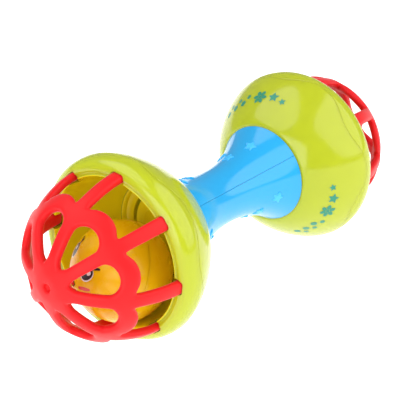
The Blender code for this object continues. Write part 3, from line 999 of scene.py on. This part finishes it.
def bulb_print(bm):
    """Two bands round a bulb, each of a star, a small star, a flower and a garland of dots."""
    # The angle of each round the bulb, in degrees, and the step from dot to dot.
    bands = ((213.6, 223.0, 200.5, 188.0, -5.0), (319.6, 309.5, 332.5, 345.5, 5.0))
    for star, small, flower, garland, step in bands:
        wrap_on_bulb(printed_star(bm, 2.3 * MM), math.radians(star), PRINT_Z + 0.3 * MM, turn=0.5)
        wrap_on_bulb(printed_star(bm, 1.5 * MM), math.radians(small), PRINT_Z - 0.4 * MM, turn=0.9)
        for petal in range(6):
            turn = math.tau * petal / 6
            middle = (1.75 * MM * math.cos(turn), 1.75 * MM * math.sin(turn))
            verts = spot(bm, 2.2 * MM, 1.5 * MM, middle, turn)
            wrap_on_bulb(verts, math.radians(flower))
        wrap_on_bulb(spot(bm, 1.2 * MM, 1.2 * MM), math.radians(flower))
        for number in range(6):
            swing = 0.9 * MM * (-1) ** number
            width = 2.4 * MM if number % 2 else 1.8 * MM
            wrap_on_bulb(spot(bm, width, width), math.radians(garland + step * number),
                         PRINT_Z + swing)


class RATTLE_OT_bulb_print(bpy.types.Operator):
    """Prints stars, a flower and a garland of dots on each bulb"""

    bl_idname = "rattle.bulb_print"
    bl_label = "Bulb print"

    def execute(self, context):
        teal = ink("teal_ink", context.scene.rattle_colours.print_teal)
        for end, side in ENDS:
            bm = bmesh.new()
            bulb_print(bm)
            bmesh.ops.recalc_face_normals(bm, faces=bm.faces)
            add_piece(f"{end}_bulb_print", bm, rattle_place(side), teal, "rattle")
        return {"FINISHED"}


# ---------------------------------------------------------------- stage


class RattleStage(bpy.types.PropertyGroup):
    floor_size: FloatProperty(
        name="Floor size", description="Side of the floor", default=6.0, unit="LENGTH")
    floor_glow: FloatProperty(
        name="Floor glow", description="Light that the white floor gives of itself", default=1.25)
    sky: FloatProperty(
        name="Room light", description="Brightness of the room above", default=0.33)
    key: FloatProperty(
        name="Softboxes", description="Brightness of the two large softboxes", default=1.85)
    fill: FloatProperty(
        name="Front fill", description="Brightness of the light that looks into the front cup", default=2.8)
    camera_place: FloatVectorProperty(
        name="Camera place", description="Where the camera stands", subtype="TRANSLATION",
        default=(-0.3189, -0.2550, 0.2287))
    camera_aim: FloatVectorProperty(
        name="Camera direction", description="Where the camera looks", subtype="DIRECTION",
        default=(0.6952, 0.5709, -0.4368))
    lens: FloatProperty(
        name="Lens", description="Focal length in millimetres", default=119.25)


def softbox(name, direction, width, height, brightness, distance=1.0):
    """A soft light with round corners that shines on the rattle from a direction, a distance away."""
    corner_power, full_inside = 3.5, 0.72
    light = bpy.data.lights.new(name, "AREA")
    light.shape = "RECTANGLE"
    light.size = width * distance
    light.size_y = height * distance
    light.energy = brightness * math.pi * light.size * light.size_y
    light.use_nodes = True
    nodes, links = light.node_tree.nodes, light.node_tree.links
    place = nodes.new("ShaderNodeNewGeometry")
    previous = place.outputs["Parametric"]
    steps = (("SUBTRACT", (0.5, 0.5, 0.0)), ("ABSOLUTE", None), ("MULTIPLY", (2.0, 2.0, 0.0)))
    for operation, value in steps:
        step = nodes.new("ShaderNodeVectorMath")
        step.operation = operation
        links.new(previous, step.inputs[0])
        if value:
            step.inputs[1].default_value = value
        previous = step.outputs["Vector"]
    split = nodes.new("ShaderNodeSeparateXYZ")
    links.new(previous, split.inputs["Vector"])
    total = nodes.new("ShaderNodeMath")
    total.operation = "ADD"
    for number, axis in enumerate("XY"):
        power = nodes.new("ShaderNodeMath")
        power.operation = "POWER"
        power.inputs[1].default_value = corner_power
        links.new(split.outputs[axis], power.inputs[0])
        links.new(power.outputs["Value"], total.inputs[number])
    fade = nodes.new("ShaderNodeMapRange")
    fade.inputs["From Min"].default_value = 1.0
    fade.inputs["From Max"].default_value = full_inside
    links.new(total.outputs["Value"], fade.inputs["Value"])
    links.new(fade.outputs["Result"], nodes["Emission"].inputs["Strength"])
    lamp = bpy.data.objects.new(name, light)
    target = Vector((0.0, -0.01, 0.04))
    lamp.location = target + Vector(direction).normalized() * distance
    lamp.rotation_mode = "QUATERNION"
    lamp.rotation_quaternion = (target - lamp.location).to_track_quat("-Z", "Y")
    lamp.visible_camera = False
    bpy.context.scene.collection.objects.link(lamp)


class RATTLE_OT_stage(bpy.types.Operator):
    """Sets the white floor, the soft studio light and the camera"""

    bl_idname = "rattle.stage"
    bl_label = "Stage"

    def execute(self, context):
        scene, stage = context.scene, context.scene.rattle_stage
        bm = bmesh.new()
        bmesh.ops.create_grid(bm, x_segments=1, y_segments=1, size=stage.floor_size / 2)
        floor = bpy.data.objects.new("floor", as_mesh("floor", bm))
        floor.location.z = -0.05 * MM
        scene.collection.objects.link(floor)
        white = bpy.data.materials.new("white_floor")
        white.use_nodes = True
        shader = white.node_tree.nodes["Principled BSDF"]
        shader.inputs["Base Color"].default_value = (0.30, 0.30, 0.30, 1.0)
        shader.inputs["Roughness"].default_value = 0.7
        shader.inputs["Emission Color"].default_value = (1.0, 1.0, 1.0, 1.0)
        shader.inputs["Emission Strength"].default_value = stage.floor_glow
        floor.data.materials.append(white)

        scene.world = bpy.data.worlds.new("room")
        scene.world.use_nodes = True
        sky = scene.world.node_tree.nodes["Background"]
        sky.inputs["Color"].default_value = (1.0, 1.0, 1.0, 1.0)
        sky.inputs["Strength"].default_value = stage.sky
        softbox("overhead softbox", (-0.35, 0.40, 0.84), 1.2, 0.95, stage.key)
        softbox("side softbox", (0.287, -0.717, 0.635), 1.5, 1.5, stage.key)
        softbox("front fill", (-0.95, -0.25, 0.30), 1.0, 0.8, stage.fill)
        scene.view_settings.view_transform = "Standard"

        camera = bpy.data.cameras.new("camera")
        camera.lens = stage.lens
        camera.sensor_width = 36.0
        camera.clip_start = 0.01
        stand = bpy.data.objects.new("camera", camera)
        stand.location = stage.camera_place
        stand.rotation_mode = "QUATERNION"
        stand.rotation_quaternion = Vector(stage.camera_aim).to_track_quat("-Z", "Y")
        scene.collection.objects.link(stand)
        scene.camera = stand
        return {"FINISHED"}


class RATTLE_PT_maker(bpy.types.Panel):
    """The rattle's sizes and its building steps"""

    bl_idname = "RATTLE_PT_maker"
    bl_label = "Baby rattle"
    bl_space_type = "VIEW_3D"
    bl_region_type = "UI"
    bl_category = "Rattle"

    def draw(self, context):
        for group in SETTINGS:
            box = self.layout.box()
            values = getattr(context.scene, group)
            for name in values.bl_rna.properties.keys():
                if name not in ("name", "rna_type"):
                    box.prop(values, name)
        for step in STEPS:
            self.layout.operator(step.bl_idname)


SETTINGS = {
    "rattle_sizes": RattleSizes,
    "rattle_cage_sizes": RattleCageSizes,
    "rattle_ball_sizes": RattleBallSizes,
    "rattle_colours": RattleColours,
    "rattle_stage": RattleStage,
}
STEPS = (
    RATTLE_OT_handle,
    RATTLE_OT_bulb_shells,
    RATTLE_OT_rim_cups,
    RATTLE_OT_cages,
    RATTLE_OT_base_plugs,
    RATTLE_OT_balls,
    RATTLE_OT_beads,
    RATTLE_OT_ball_print,
    RATTLE_OT_bulb_print,
    RATTLE_OT_stage,
)


def register():
    for group in (*SETTINGS.values(), *STEPS, RATTLE_PT_maker):
        bpy.utils.register_class(group)
    for name, group in SETTINGS.items():
        setattr(bpy.types.Scene, name, PointerProperty(type=group))


def unregister():
    for name in SETTINGS:
        delattr(bpy.types.Scene, name)
    for group in (RATTLE_PT_maker, *STEPS[::-1], *SETTINGS.values()):
        bpy.utils.unregister_class(group)


def main():
    register()
    for step in STEPS:
        group, action = step.bl_idname.split(".")
        getattr(getattr(bpy.ops, group), action)()


if __name__ == "__main__":
    main()
